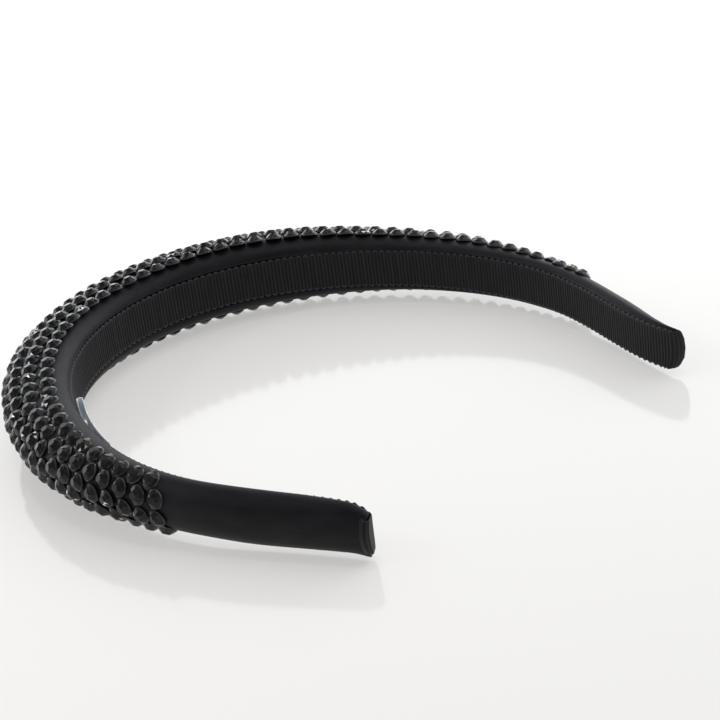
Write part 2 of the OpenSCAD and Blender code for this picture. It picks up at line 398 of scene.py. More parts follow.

# %% [markdown]
# ### Ribbed ribbon
#
# The ribs show in the ribbon's outline, where a bump on a flat strip would fail, so they are in
# the mesh. The finish adds the fine threads that run round each rib and the slight change of
# tone from one rib to the next. Painted shade makes the grooves between the crests darker than
# the crests, and a painted highlight makes the small loops along both edges the lightest.

# %% Ribbon finish
ribbed, add, link = new_finish("black_grosgrain", 0.55, Sheen_Weight=0.05, Sheen_Roughness=0.4,
                               Specular_IOR_Level=0.2)
ribbon_map = add("ShaderNodeUVMap", uv_map="cloth").outputs["UV"]
split_map = add("ShaderNodeSeparateXYZ", {"Vector": ribbon_map})
rib_share = add("ShaderNodeMath", {0: split_map.outputs["X"]}, operation="DIVIDE")
rib_share.inputs[1].default_value = RIB_PITCH
rib_crest = add("ShaderNodeMath", {0: rib_share.outputs["Value"]}, operation="PINGPONG")
rib_crest.inputs[1].default_value = 0.5
rib_tone = stretched_noise(add, ribbon_map, 1.0, 0.9, 0.05)
# Painted shade: the grooves are darker and the crests lighter; the noise is the ribs' own change
# of tone.
crest_light = add("ShaderNodeMath", {0: rib_crest.outputs["Value"], 1: rib_tone.outputs["Fac"]},
                  operation="MULTIPLY")
rib_shade_tone = two_tones(add, crest_light.outputs["Value"], (0.004, 0.004, 0.005),
                      (0.026, 0.026, 0.031), 0.05, 0.3)
# Painted highlight: the small loops along both edges get a lighter colour.
from_middle = add("ShaderNodeMath", {0: split_map.outputs["Y"]}, operation="ABSOLUTE")
picot = add("ShaderNodeMapRange", {"Value": from_middle.outputs["Value"]},
            From_Min=RIBBON_WIDTH / 2 - 0.25, From_Max=RIBBON_WIDTH / 2 + 0.15)
# Of this node's sockets, 6 and 7 are the two colours that go in and 2 is the mixed one.
loop_highlight = add("ShaderNodeMix", {"Factor": picot.outputs["Result"]}, data_type="RGBA")
ribbed.node_tree.links.new(rib_shade_tone, loop_highlight.inputs[6])
loop_highlight.inputs[7].default_value = (0.05, 0.05, 0.056, 1)
link(loop_highlight.outputs[2], "Base Color")
threads = stretched_noise(add, ribbon_map, 1.0, 1.5, 9.0)
thread_bump = add("ShaderNodeBump", {"Height": threads.outputs["Fac"]}, Strength=0.4,
                  Distance=0.00008)
link(thread_bump.outputs["Normal"], "Normal")

# %% [markdown]
# ### Jet glass
#
# The stones are opaque black glass. They have hardly a colour of their own and live by what
# their facets mirror, so the finish is a very smooth dark surface. Each stone carries a random
# number as an attribute, which shifts its polish a little, as worn stones differ.
#
# The facets carry painted light. As a stand-in for light that goes in by one facet and comes out
# by another, no two facets are equally dark; painted shade makes the tables the darkest, a
# painted highlight makes the rims light, and a few pairs of facets carry painted glints, bluish,
# white or amber. A second attribute holds that for every facet: one colour ramp turns it into
# black to dark grey, from 0.9 on into the painted glints, and at 1 into the rims' painted grey.

# %% Crystal finish
# Painted light: dark facet tones stand in for inner reflections, and the ramp also holds painted
# glints and a painted rim highlight.
DARKEST_FACET, LIGHTEST_FACET = (0.003, 0.003, 0.0035), (0.022, 0.022, 0.024)
# Painted highlight: the grey given to every stone's rim.
RIM_HIGHLIGHT_GREY = (0.048, 0.048, 0.052)
LAST_DARK, FIRST_RIM = 0.899, 0.991
# Painted glints: colours given to a few pairs of facets.
PAINTED_GLINTS = ((0.9, 0.925, (0.75, 0.78, 0.9)), (0.926, 0.965, (1.0, 0.99, 0.97)),
           (0.966, 0.99, (0.55, 0.42, 0.3)))
jet, add, link = new_finish("jet_glass", 0.04, Specular_IOR_Level=0.28)
stone_luck = add("ShaderNodeAttribute", attribute_name="stone_luck").outputs["Fac"]
painted_facet_light = add("ShaderNodeAttribute", attribute_name="painted_facet_light").outputs["Fac"]
glass_ramp = add("ShaderNodeValToRGB", {"Fac": painted_facet_light})
glass_stops = glass_ramp.color_ramp.elements
glass_stops[0].color = (*DARKEST_FACET, 1)
glass_stops[1].position = LAST_DARK
glass_stops[1].color = (*LIGHTEST_FACET, 1)
for start, end, colour in PAINTED_GLINTS:
    for place in (start, end):
        glass_stops.new(place).color = (*colour, 1)
glass_stops.new(FIRST_RIM).color = (*RIM_HIGHLIGHT_GREY, 1)
link(glass_ramp.outputs["Color"], "Base Color")
body_map = add("ShaderNodeTexCoord").outputs["Object"]
smears = add("ShaderNodeTexNoise", {"Vector": body_map}, Scale=900.0, Detail=2.0)
worn = add("ShaderNodeMath", {0: smears.outputs["Fac"], 1: stone_luck}, operation="ADD")
polish = add("ShaderNodeMapRange", {"Value": worn.outputs["Value"]}, From_Min=0.5, From_Max=1.6,
             To_Min=0.02, To_Max=0.09)
link(polish.outputs["Result"], "Roughness")

# %% [markdown]
# ### Label tape
#
# The label is a narrow woven tape, a pale bluish white, with a faint twill across it.

# %% Label finish
tape, add, link = new_finish("pale_tape", 0.45, Sheen_Weight=0.2, Sheen_Roughness=0.3)
tape_map = add("ShaderNodeUVMap", uv_map="cloth").outputs["UV"]
twill_map = add("ShaderNodeMapping", {"Vector": tape_map}, Rotation=(0, 0, 0.8))
twill = add("ShaderNodeTexWave", {"Vector": twill_map.outputs["Vector"]}, Scale=1.2,
            Distortion=0.6)
link(two_tones(add, twill.outputs["Fac"], (0.72, 0.77, 0.83), (0.84, 0.88, 0.93), 0.0, 1.0),
     "Base Color")
twill_bump = add("ShaderNodeBump", {"Height": twill.outputs["Fac"]}, Strength=0.3,
                 Distance=0.00005)
link(twill_bump.outputs["Normal"], "Normal")
print("finishes:", ", ".join(finish.name for finish in (satin, ribbed, jet, tape)))


def dress(piece, finish):
    """Gives a piece its finish and its body."""
    piece.data.materials.append(finish)
    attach(piece, "root")
    return piece


# %% [markdown]
# ## Satin cover
#
# The cover is one tube through the sections, from the end of one leg to the end of the other.
# Where it is caught in the ribbon's seam the cloth is gathered: short soft puckers start at
# the seam and die out on the padding. The bare legs carry long shallow waves. A cloth simulation
# could make folds, but satin that is drawn tight over foam has none, so both are sums of sine
# waves with seeded phases, which come out the same each time. On the legs the cloth's hem comes
# forward to lie beside the ribbon's edge.

# %% Soft waves in cloth
luck = np.random.default_rng(11)


def soft_waves(place, shortest, longest, count, generator):
    """A sum of sine waves along a line: wave lengths drawn between two bounds, phases and
    weights drawn too, scaled to about -1 to 1."""
    lengths = generator.uniform(shortest, longest, count)
    phases = generator.uniform(0, 2 * math.pi, count)
    weights = generator.uniform(0.5, 1.0, count)
    waves = np.sin(2 * math.pi * place[..., None] / lengths + phases) * weights
    return waves.sum(-1) / (0.7 * weights.sum())


# %% Puckers and waves
COVER_STEP = 0.8
ARC_STEPS = 80
COVER_PAST_END = 0.3
PUCKER_HEIGHT, WAVE_HEIGHT = 0.05, 0.10
PUCKER_PLACE, PUCKER_SPREAD = 0.09, 0.1
BARE_FROM, BARE_FADE = 105, 20
cover_runs = np.linspace(-NEAR_RUN - COVER_PAST_END, FAR_RUN + COVER_PAST_END,
                         round((NEAR_RUN + FAR_RUN) / COVER_STEP))
upper_angles = np.linspace(0, 180, ARC_STEPS // 2 + 1)
cover_angles = np.concatenate([upper_angles, -upper_angles[::-1][:-1]])
run_grid, angle_grid = np.meshgrid(cover_runs, cover_angles, indexing="ij")

from_seam = (180 - np.abs(angle_grid)) / 180
upper_side = angle_grid >= 0
upper_gathers = soft_waves(run_grid, 2.5, 7.0, 7, luck)
lower_gathers = soft_waves(run_grid, 2.5, 7.0, 7, luck)
gathers = np.where(upper_side, upper_gathers, lower_gathers)
gathers = gathers * np.exp(-((from_seam - PUCKER_PLACE) / PUCKER_SPREAD) ** 2)
drag = soft_waves(run_grid + 9 * np.sin(np.radians(angle_grid)), 11.0, 34.0, 5, luck)
bare = np.clip((np.abs(run_grid) - BARE_FROM) / BARE_FADE, 0, 1)
bare = bare * np.sin(np.radians(np.abs(angle_grid)))
swell = PUCKER_HEIGHT * gathers + WAVE_HEIGHT * drag * bare
print("puckers reach", round(float(np.abs(swell).max()), 2), "mm")

# %% [markdown]
# The last of the cloth before the seam rolls towards the outer face, most of all on the crown.

# %% Build the satin cover
LIP_ROLL, CROWN_ROLL, ROLL_ANGLE = 0.3, 0.5, 12
HEM_REACH, HEM_DROP, HEM_ANGLE = 0.62, 0.15, 9
COVER_FLARE = 0.5
SEAM_TO_CREST = 24.0
out, height = section_point(run_grid, angle_grid, swell)
lip_roll = LIP_ROLL + CROWN_ROLL * np.clip((48 - np.abs(run_grid)) / 20, 0, 1)
roll = np.clip((np.abs(angle_grid) - (180 - ROLL_ANGLE)) / ROLL_ANGLE, 0, 1) ** 2
out = out + lip_roll * roll * (1 - 0.6 * lip(run_grid) / SEAT)
hem = np.clip(1 - np.abs(np.abs(angle_grid) - (180 - HEM_ANGLE)) / HEM_ANGLE, 0, 1)
hem = hem * lip(run_grid) / SEAT
out = out - HEM_REACH * hem
height = height - HEM_DROP * hem * np.sign(angle_grid)
cover_points = in_plane(run_grid, out, end_height(run_grid, 0, height, COVER_FLARE),
                        end_shift(run_grid, 0, out, height))
cover_faces = closed_tube(len(cover_runs), cover_points.shape[1], flip=True)
cover_uv = np.stack([run_grid, angle_grid / 180 * SEAM_TO_CREST], axis=-1).reshape(-1, 2)
satin_cover = new_piece("satin_cover", laid_down(cover_points.reshape(-1, 3)), cover_faces,
                        cover_uv)
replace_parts(dress(satin_cover, satin), "padded_cover")

# %% [markdown]
# ## Ribbed ribbon
#
# The ribbon's path is drawn first: back along the outer face for a little way, round the end
# of the leg, along the whole inner face, and round the other end. Its ribs are carried along
# that path: the face rises and falls once a rib, and the edges swing out in a small loop at
# every second rib. On the turned ends the ribs are pressed flat and the edges bend inwards, by
# a quarter of an ellipse, to hug the padding's round outer face.

# %% Path of the ribbon
TURN_BACK = 0.6
FOLD_RADIUS = 1.2
PULLED_TIGHT = 0.3
LINE_INSET = 0.6
HUG_HEIGHT, HUG_SHARE = 5.6, 0.75
RIB_SAMPLES = 8


def turned_end(end_run):
    """Out of the inner face, round the end and back along the outer face: two quarter circles
    with straight lines between, as rows of run, distance out and distance beyond the end."""
    far_out = float(thickness(end_run)) + SEAT - PULLED_TIGHT
    quarter = np.linspace(0, math.pi / 2, 9)
    start = SEAT - FOLD_RADIUS
    out = np.concatenate([FOLD_RADIUS * (1 - np.cos(quarter)),
                          far_out - FOLD_RADIUS * (1 - np.sin(quarter)), [far_out]])
    beyond = np.concatenate([start + FOLD_RADIUS * np.sin(quarter),
                             start + FOLD_RADIUS * np.cos(quarter), [-TURN_BACK]])
    return np.stack([np.full(len(out), end_run), out, beyond], axis=-1)


def length_along(places):
    """Length of a path from its start to each of its places."""
    steps = np.linalg.norm(np.diff(places, axis=0), axis=-1)
    return np.concatenate([[0], np.cumsum(steps)])


inner_runs = np.linspace(-NEAR_RUN + LINE_INSET, FAR_RUN - LINE_INSET, 700)
ribbon_line = np.concatenate([
    turned_end(-NEAR_RUN)[::-1],
    np.stack([inner_runs, 0 * inner_runs, 0 * inner_runs], axis=-1),
    turned_end(FAR_RUN),
])
line_length = length_along(np.stack(plan_place(*ribbon_line.T), axis=-1))
print("ribbon", round(line_length[-1], 1), "mm long")

# %% Directions along the path
def unit(vectors):
    return vectors / np.linalg.norm(vectors, axis=-1, keepdims=True)


rib_count = round(line_length[-1] / RIB_PITCH)
along = np.linspace(0, line_length[-1], rib_count * RIB_SAMPLES + 1)
path_run, path_out, path_beyond = (np.interp(along, line_length, values)
                                   for values in ribbon_line.T)
path = np.stack(plan_place(path_run, path_out, path_beyond), axis=-1)
direction = unit(np.gradient(path, axis=0))
face_normal = np.stack([direction[:, 1], -direction[:, 0]], axis=-1)
print(rib_count, "ribs of", RIB_PITCH, "mm")

# %% Shape of the ribs
ACROSS = np.array([-1, -0.985, -0.95, -0.9, -0.84, -0.5, 0, 0.5, 0.84, 0.9, 0.95, 0.985, 1.0])
RIB_DEPTH, LOOP_REACH = 0.24, 0.42
EDGE_DROP, EDGE_THINNING, EDGE_INWARDS, BACK_INSET = 0.16, 0.25, 0.03, 0.15
PRESSED_FLAT = 0.75
rib_turn = math.pi * along / line_length[-1] * rib_count
rib = np.abs(np.sin(rib_turn)) - 1
loops = 0.5 + 0.5 * np.cos(rib_turn)
edge_share = np.abs(ACROSS)
body = np.clip((0.93 - edge_share) / 0.06, 0, 1)
edge_zone = np.clip((edge_share - 0.9) / 0.1, 0, 1)
edge_drop = EDGE_DROP * edge_zone ** 2
turned = np.clip(np.maximum(path_beyond, path_out - 0.3) / 0.8, 0, 1)
pressed = 1 - PRESSED_FLAT * turned
face_depth = (RIB_DEPTH * pressed * rib)[:, None] * body - edge_drop
half = RIBBON_WIDTH / 2 - EDGE_INWARDS + (LOOP_REACH * pressed * loops)[:, None] * edge_zone
thinned = EDGE_THINNING * np.maximum(edge_zone, turned[:, None])
back_depth = thinned - RIBBON_THICKNESS + BACK_INSET
front = np.concatenate([face_depth, back_depth], axis=1)
heights = np.concatenate([half * ACROSS, (half * ACROSS)[:, ::-1] * 0.99], axis=1)
print("the ribbon is", round(float(np.ptp(heights)), 2), "mm wide at its loops")

# %% Build the ribbon
RIBBON_FLARE = -0.3
path_shift = path_beyond[:, None] + end_shift(path_run[:, None], path_beyond[:, None],
                                              path_out[:, None], heights)
heights = end_height(path_run[:, None], path_beyond[:, None], heights, RIBBON_FLARE)
bend = 1 - np.sqrt(1 - np.clip(np.abs(heights) / HUG_HEIGHT, 0, 1) ** 2)
hugging = path_out[:, None] * (1 - HUG_SHARE * bend)
x, y = plan_place(path_run[:, None], hugging, path_shift)
ribbon_points = np.stack([x + face_normal[:, :1] * front, y + face_normal[:, 1:] * front, heights],
                         axis=-1)
ribbon_faces = closed_tube(len(along), ribbon_points.shape[1])
rib_map = along[:, None] / line_length[-1] * rib_count * RIB_PITCH
ribbon_uv = np.stack(np.broadcast_arrays(rib_map, heights), axis=-1).reshape(-1, 2)
ribbon = new_piece("grosgrain_ribbon", laid_down(ribbon_points.reshape(-1, 3)), ribbon_faces,
                   ribbon_uv)
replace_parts(dress(ribbon, ribbed), "grosgrain_lining")

# %% [markdown]
# ## Crystals
#
# A hand sets the stones in rows along the band, beginning at both margins, each stone in the gap
# between two of the last row. Where the two lots of rows meet on the outer side, stones that
# would lie on others are left out. Then every stone is pushed off the ones that it crowds, again
# and again. A stone goes into each hole that is nearly wide enough for one, its neighbours give
# way, and the few that are squeezed too hard are taken off, until all lie evenly.
#
# Places are given by the run and the distance across the padding, measured along its surface
# from the crest, so that a step is the same length everywhere.

# %% Measure across the padding
STONE_RADIUS = 2.4
STONE_PITCH = 4.9
ROW_PITCH = STONE_PITCH * math.sqrt(3) / 2
table_runs = np.linspace(-NEAR_PAVING - 2, FAR_PAVING + 2, 130)
table_angles = np.linspace(-150, 150, 301)
arc_points = on_padding(table_runs[:, None], table_angles[None, :])
arc_steps = np.linalg.norm(np.diff(arc_points, axis=1), axis=-1)
arc = np.concatenate([np.zeros((len(table_runs), 1)), np.cumsum(arc_steps, axis=1)], axis=1)
arc -= arc[:, [len(table_angles) // 2]]
across_values = np.linspace(-32, 32, 257)
angle_table = np.stack([np.interp(across_values, row, table_angles) for row in arc])
upper_limit, lower_limit = (
    np.array([np.interp(side * eased(run, column), table_angles, row)
              for run, row in zip(table_runs, arc)])
    for side, column in ((1, 3), (-1, 4))
)
print("the paving is up to", round(float((upper_limit - lower_limit).max()), 1), "mm across")


def angle_at(run, across):
    """Angle from the crest at a distance across, read between the four nearest entries."""
    i = (run - table_runs[0]) / (table_runs[1] - table_runs[0])
    j = (across - across_values[0]) / (across_values[1] - across_values[0])
    i0 = np.clip(i.astype(int), 0, len(table_runs) - 2)
    j0 = np.clip(j.astype(int), 0, len(across_values) - 2)
    u, v = np.clip(i - i0, 0, 1), np.clip(j - j0, 0, 1)
    low = angle_table[i0, j0] * (1 - v) + angle_table[i0, j0 + 1] * v
    high = angle_table[i0 + 1, j0] * (1 - v) + angle_table[i0 + 1, j0 + 1] * v
    return low * (1 - u) + high * u


def stone_seat(run, across, lift=0.0):
    return on_padding(run, angle_at(run, across), lift)


# %% Lay the rows
EDGE_INSET, END_INSET, ROW_END_INSET = 2.1, 1.6, 1.2
CROWN_INSET, CROWN_END, CROWN_FADE = 1.0, 60, 30
IN_STEP_RUN = -35.0
MOST_ROWS = 6
LEAST_ROOM = 0.78
STEP_HEIGHT, MIDDLE_HEIGHT = 0.8, 0.5


def limits(run):
    """Lowest and highest distance across for a stone's middle. On the crown a wider strip of
    satin stays bare at the inner margin."""
    crown = np.clip((CROWN_END - np.abs(run)) / CROWN_FADE, 0, 1)
    return (np.interp(run, table_runs, lower_limit) + EDGE_INSET,
            np.interp(run, table_runs, upper_limit) - EDGE_INSET - CROWN_INSET * crown)


def laid_row(number, from_top):
    """One row at a fixed distance from a margin. Its stones stand at equal steps of its own
    length, and every second row is half a step off."""
    low, high = limits(table_runs)
    across = high - number * ROW_PITCH if from_top else low + number * ROW_PITCH
    line = stone_seat(table_runs, across, STEP_HEIGHT)
    length = length_along(line)
    half_step = number % 2 * STONE_PITCH / 2
    first = (np.interp(IN_STEP_RUN, table_runs, length) + half_step) % STONE_PITCH
    run = np.interp(np.arange(first, length[-1], STONE_PITCH), length, table_runs)
    across, middle = (np.interp(run, table_runs, line) for line in (across, (low + high) / 2))
    own_half = across >= middle - 0.1 if from_top else across < middle + ROW_PITCH / 2
    inside = own_half & (run > -NEAR_PAVING + ROW_END_INSET) & (run < FAR_PAVING - ROW_END_INSET)
    return np.stack([run, across])[:, inside]


top_rows, bottom_rows = (
    np.concatenate([laid_row(number, from_top) for number in range(MOST_ROWS)], axis=1)
    for from_top in (True, False)
)
top_seats = stone_seat(*top_rows, MIDDLE_HEIGHT)
bottom_seats = stone_seat(*bottom_rows, MIDDLE_HEIGHT)
room = np.linalg.norm(bottom_seats[:, None] - top_seats[None], axis=-1).min(1)
bottom_rows = bottom_rows[:, room > LEAST_ROOM * STONE_PITCH]
stone_run, stone_across = np.concatenate([top_rows, bottom_rows], axis=1)
print(len(stone_run), "stones laid in rows")

# %% Even the stones out
PUSH_SHARE = 0.35
SMALL_STEP = 0.25


def crowding(run, across):
    """Places, the vectors from every other stone, and the distances, in space."""
    seat = stone_seat(run, across, MIDDLE_HEIGHT)
    apart = seat[:, None] - seat[None]
    distance = np.linalg.norm(apart, axis=-1) + 1e3 * np.eye(len(run))
    return seat, apart, distance


def nudged(run, across):
    """One round: each stone moves away from those nearer than the pitch, by a share of what is
    missing, along the surface's two directions, and stays inside the edges."""
    seat, apart, distance = crowding(run, across)
    push = np.maximum(STONE_PITCH - distance, 0)[..., None] * apart / distance[..., None]
    push = push.sum(1) * PUSH_SHARE
    along_step = (stone_seat(run + SMALL_STEP, across, MIDDLE_HEIGHT) - seat) / SMALL_STEP
    across_step = (stone_seat(run, across + SMALL_STEP, MIDDLE_HEIGHT) - seat) / SMALL_STEP
    run = run + (push * along_step).sum(-1) / (along_step ** 2).sum(-1)
    across = across + (push * across_step).sum(-1) / (across_step ** 2).sum(-1)
    run = np.clip(run, -NEAR_PAVING + END_INSET, FAR_PAVING - END_INSET)
    return run, np.clip(across, *limits(run))


def settled(run, across, rounds):
    for _ in range(rounds):
        run, across = nudged(run, across)
    return run, across


stone_run, stone_across = settled(stone_run, stone_across, 60)

# %% Fill the holes
WIDE_HOLE = 3.3
MOST_FILLED = 70
hole_run = np.linspace(-NEAR_PAVING + END_INSET, FAR_PAVING - END_INSET, 170)[:, None]
hole_low, hole_high = limits(hole_run)
hole_across = hole_low + (hole_high - hole_low) * np.linspace(0, 1, 24)
hole_run = np.broadcast_to(hole_run, hole_across.shape)
hole_places = stone_seat(hole_run, hole_across, MIDDLE_HEIGHT).reshape(-1, 1, 3)
laid = len(stone_run)
for _ in range(MOST_FILLED):
    seats = stone_seat(stone_run, stone_across, MIDDLE_HEIGHT)
    free = np.linalg.norm(hole_places - seats, axis=-1).min(1)
    widest = np.argmax(free)
    if free[widest] < WIDE_HOLE:
        break
    stone_run = np.append(stone_run, hole_run.flat[widest])
    stone_across = np.append(stone_across, hole_across.flat[widest])
    stone_run, stone_across = settled(stone_run, stone_across, 8)
print(len(stone_run) - laid, "stones set into holes")

# %% Take off what is squeezed
LEAST_PITCH = 4.35
MOST_TAKEN_OFF = 22
for _ in range(MOST_TAKEN_OFF):
    stone_run, stone_across = settled(stone_run, stone_across, 5)
    distance = crowding(stone_run, stone_across)[2]
    nearest = distance.min(1)
    if nearest.min() < LEAST_PITCH:
        crowded = np.maximum(STONE_PITCH - distance, 0).sum(1) * (nearest < LEAST_PITCH)
        keep = np.arange(len(stone_run)) != np.argmax(crowded)
        stone_run, stone_across = stone_run[keep], stone_across[keep]
stone_run, stone_across = settled(stone_run, stone_across, 30)
distance = crowding(stone_run, stone_across)[2]
print(len(stone_run), "stones, nearest pair", round(float(distance.min()), 2), "mm, usual",
      round(float(np.median(distance.min(1))), 2))

# %% [markdown]
# One stone is a flat-backed cut: a rim of sixteen sides, two belts of facets that slope at
# about 40 degrees, and an eight-sided table that is two fifths of the stone across. The two
# upper rings are turned against each other by half a step, which gives the star of triangles
# round the table. Every stone is a copy of the same few points, turned about its own axis,
# leaned a degree or two and set on the padding. All of them are one mesh, because hundreds of
# objects would be slow to handle and the paving is one piece of the real band.

# %% Cut of one stone
RIM_SIDES, TABLE_SIDES = 16, 8
BACK, RIM = (1.0, 0.12), (0.94, 0.5)
SHOULDER, TABLE = (0.7, 1.0), (0.38, STONE_HEIGHT)


def ring(sides, radius_and_height, turn=0.0):
    """Points of a ring: radius as a share of the stone's, height in mm."""
    angle = 2 * math.pi * (np.arange(sides) + turn) / sides
    radius, height = radius_and_height
    return np.stack([radius * np.cos(angle), radius * np.sin(angle), np.full(sides, height)], -1)


cut_points = np.concatenate([ring(RIM_SIDES, place) for place in (BACK, RIM)]
                            + [ring(TABLE_SIDES, SHOULDER, 0.5), ring(TABLE_SIDES, TABLE)])
g, t = np.arange(RIM_SIDES), np.arange(TABLE_SIDES)
rim, shoulder, table_ring = RIM_SIDES, 2 * RIM_SIDES, 2 * RIM_SIDES + TABLE_SIDES
next_g, next_t = (g + 1) % RIM_SIDES, (t + 1) % TABLE_SIDES
flats = np.concatenate([
    np.stack([rim + 2 * t, rim + 2 * t + 1, shoulder + t], -1),
    np.stack([rim + 2 * t + 1, rim + (2 * t + 2) % RIM_SIDES, shoulder + t], -1),
    np.stack([rim + (2 * t + 2) % RIM_SIDES, shoulder + next_t, shoulder + t], -1),
    np.stack([shoulder + t, shoulder + next_t, table_ring + next_t], -1),
    np.stack([shoulder + t, table_ring + next_t, table_ring + t], -1),
])
rims = np.stack([g, next_g, rim + next_g, rim + g], -1)
cut_groups = [flats, rims, (table_ring + t)[None], g[None, ::-1]]
print("one stone has", sum(len(group) for group in cut_groups), "faces")

# %% [markdown]
# Towards the inner margin the padding falls away fast. The stones there touch their outer
# neighbours first, so they keep facing more upwards than the satin under them and stand off it
# a little. A little past the rim they begin to turn with it again. On the two sides of the
# legs, where the padding is round and narrow, the stones are pressed a little way into it.

# %% Set the stones
STEEPEST, TURN_AGAIN, TURN_SHARE = 66.0, 100.0, 0.8
RAISED_BY_DEGREE, MOST_LEAN = 0.012, 25
PRESSED_IN, LEG_FROM, LEG_FADE, SIDE_FROM, SIDE_FADE = 0.3, 30, 30, 40, 50
WOBBLE = 0.035
SHORT_STEP, HALF_GAP = 0.05, 0.01
count = len(stone_run)
seat = stone_seat(stone_run, stone_across)
angle = angle_at(stone_run, stone_across)
facing = np.minimum(angle, STEEPEST) + TURN_SHARE * np.maximum(angle - TURN_AGAIN, 0)
up = on_padding(stone_run, facing, 1.0) - on_padding(stone_run, facing)
lean = np.clip(angle - facing, 0, MOST_LEAN)
on_legs = np.clip((np.abs(stone_run) - LEG_FROM) / LEG_FADE, 0, 1)
on_sides = np.clip((np.abs(angle) - SIDE_FROM) / SIDE_FADE, 0, 1)
seat += (RAISED_BY_DEGREE * lean - PRESSED_IN * (on_legs * on_sides))[:, None] * up
along_band = stone_seat(stone_run + SHORT_STEP, stone_across) - seat
up = unit(up + luck.normal(0, WOBBLE, (count, 3)))
first_axis = unit(along_band - (along_band * up).sum(-1, keepdims=True) * up)
second_axis = np.cross(up, first_axis)
turn = luck.uniform(0, 2 * math.pi, count)[:, None]
axis_a = first_axis * np.cos(turn) + second_axis * np.sin(turn)
axis_b = second_axis * np.cos(turn) - first_axis * np.sin(turn)
nearest = distance.min(1)
radius = np.minimum(STONE_RADIUS, nearest / 2 - HALF_GAP)[:, None, None]
points = (seat[:, None]
          + radius * cut_points[None, :, :1] * axis_a[:, None]
          + radius * cut_points[None, :, 1:2] * axis_b[:, None]
          + cut_points[None, :, 2:] * up[:, None])
first_points = (np.arange(count) * len(cut_points))[:, None, None]
faces = [(group[None] + first_points).reshape(-1, group.shape[1]) for group in cut_groups]
stones = new_piece("crystal_stones", laid_down(points.reshape(-1, 3)), faces, smooth=False)

# %% [markdown]
# Each stone now gets its random number and each facet its painted light. The faces lie in the
# mesh in four lots, all the stones' facets first, then the rims, the tables and the backs, so a
# lot is reached by counting. A painted glint is given to a facet and the next one together.

# %% Painted light in the facets
GLINT_SHARE, FLASH_RANGE = 0.006, (0.905, 0.985)
FACET_RANGE, TABLE_SHADE, RIM_LIGHT = 0.88, 0.35, 1.0
luck_layer = stones.data.attributes.new("stone_luck", "FLOAT", "POINT")
stone_numbers = np.repeat(luck.uniform(0, 1, count), len(cut_points))
luck_layer.data.foreach_set("value", stone_numbers.astype(np.float32))
flat_count = count * len(flats)
first_table = flat_count + count * len(rims)
# Painted inner reflections on the facets, painted shade on the tables, a painted highlight on the
# rims, then painted glints on a few pairs.
facet_values = FACET_RANGE * luck.uniform(0, 1, len(stones.data.polygons)) ** 2
facet_values[flat_count:first_table] = RIM_LIGHT
facet_values[first_table:first_table + count] *= TABLE_SHADE
flashing = np.flatnonzero(luck.uniform(0, 1, flat_count - 1) < GLINT_SHARE)
flashing = np.union1d(flashing, flashing + 1)
facet_values[flashing] = luck.uniform(*FLASH_RANGE, len(flashing))
light_layer = stones.data.attributes.new("painted_facet_light", "FLOAT", "FACE")
light_layer.data.foreach_set("value", facet_values.astype(np.float32))
print(len(flashing), "facets flash")
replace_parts(dress(stones, jet), "crystal_pave")

# %% [markdown]
# ## Label
#
# The label is a narrow tape folded in half, a hairpin in plan, with both tails caught in the
# seam at the ribbon's upper edge. It is blank. Its path is an outward run, a half turn and a
# way back, and a thin wall is carried along it. The tail next to the ribbon dips into the seam
# soon after the fold, and the other one does so slowly.

# %% Path of the label
LABEL_WIDTH, LABEL_RUN, LABEL_START = 6.0, 25.0, 66.0
LABEL_THICKNESS, LOOP_WIDTH = 0.22, 1.5
LABEL_RISE, LABEL_LEAN = 1.6, 0.4
FRONT_DIP, FRONT_FADE = 3.5, 5.0
BACK_DIP, BACK_FADE, TAIL_DIP = 1.25, 5.0, 0.3


def label_share(run):
    return (run - LABEL_START) / LABEL_RUN


def label_front(run):
    return -SEW_GAP - LABEL_LEAN * (1 - label_share(run))


def label_back(run):
    return label_front(run) - LOOP_WIDTH + (LOOP_WIDTH - 0.5) * label_share(run)


fold_middle = LABEL_START + LOOP_WIDTH / 2
loop_radius = (label_front(fold_middle) - label_back(fold_middle)) / 2
loop_centre = (label_front(fold_middle) + label_back(fold_middle)) / 2
leg_runs = np.linspace(fold_middle, LABEL_START + LABEL_RUN, 40)
half_turn = np.linspace(0, math.pi, 17)[1:-1]
label_runs = np.concatenate([
    leg_runs[::-1], fold_middle - loop_radius * np.sin(half_turn), leg_runs,
])
label_out = np.concatenate([
    label_front(leg_runs[::-1]), loop_centre + loop_radius * np.cos(half_turn),
    label_back(leg_runs),
])
line = np.stack(plan_place(-label_runs, label_out), axis=-1)
print("the label's fold is", round(2 * loop_radius, 2), "mm across")

# %% Build the label
direction = unit(np.gradient(line, axis=0))
side = np.stack([-direction[:, 1], direction[:, 0]], axis=-1) * LABEL_THICKNESS / 2
is_front = np.arange(len(label_runs)) < len(leg_runs)
dip = np.where(is_front, FRONT_DIP * np.clip((label_runs - fold_middle) / FRONT_FADE, 0, 1),
               BACK_DIP * np.clip((label_runs - fold_middle) / BACK_FADE, 0, 1)
               + TAIL_DIP * label_share(label_runs))
label_top = RIBBON_WIDTH / 2 + LABEL_RISE - dip
down = LABEL_WIDTH * np.linspace(0, 1, 7)
walls = [np.stack(np.broadcast_arrays((line + s * side)[:, :1], (line + s * side)[:, 1:],
                                      label_top[:, None] - drop), -1)
         for s, drop in ((-1, down), (1, down[::-1]))]
label_points = np.concatenate(walls, axis=1)
label_faces = closed_tube(len(line), label_points.shape[1])
label_length = float(np.linalg.norm(np.diff(line, axis=0), axis=-1).sum())
label_uv = np.stack(np.broadcast_arrays(
    np.linspace(0, label_length, len(line))[:, None], label_points[..., 2]), -1).reshape(-1, 2)
label = new_piece("folded_label", laid_down(label_points.reshape(-1, 3)), label_faces, label_uv)
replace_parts(dress(label, tape), "blank_label")
print("label tape", round(label_length, 1), "mm long and", LABEL_WIDTH, "mm wide")

# %% [markdown]
# The camera looks down at the table from beyond the ends of the legs, as in the photograph. It
# is given by where it stands, the way it faces, how far it looks down, and how far it leans.

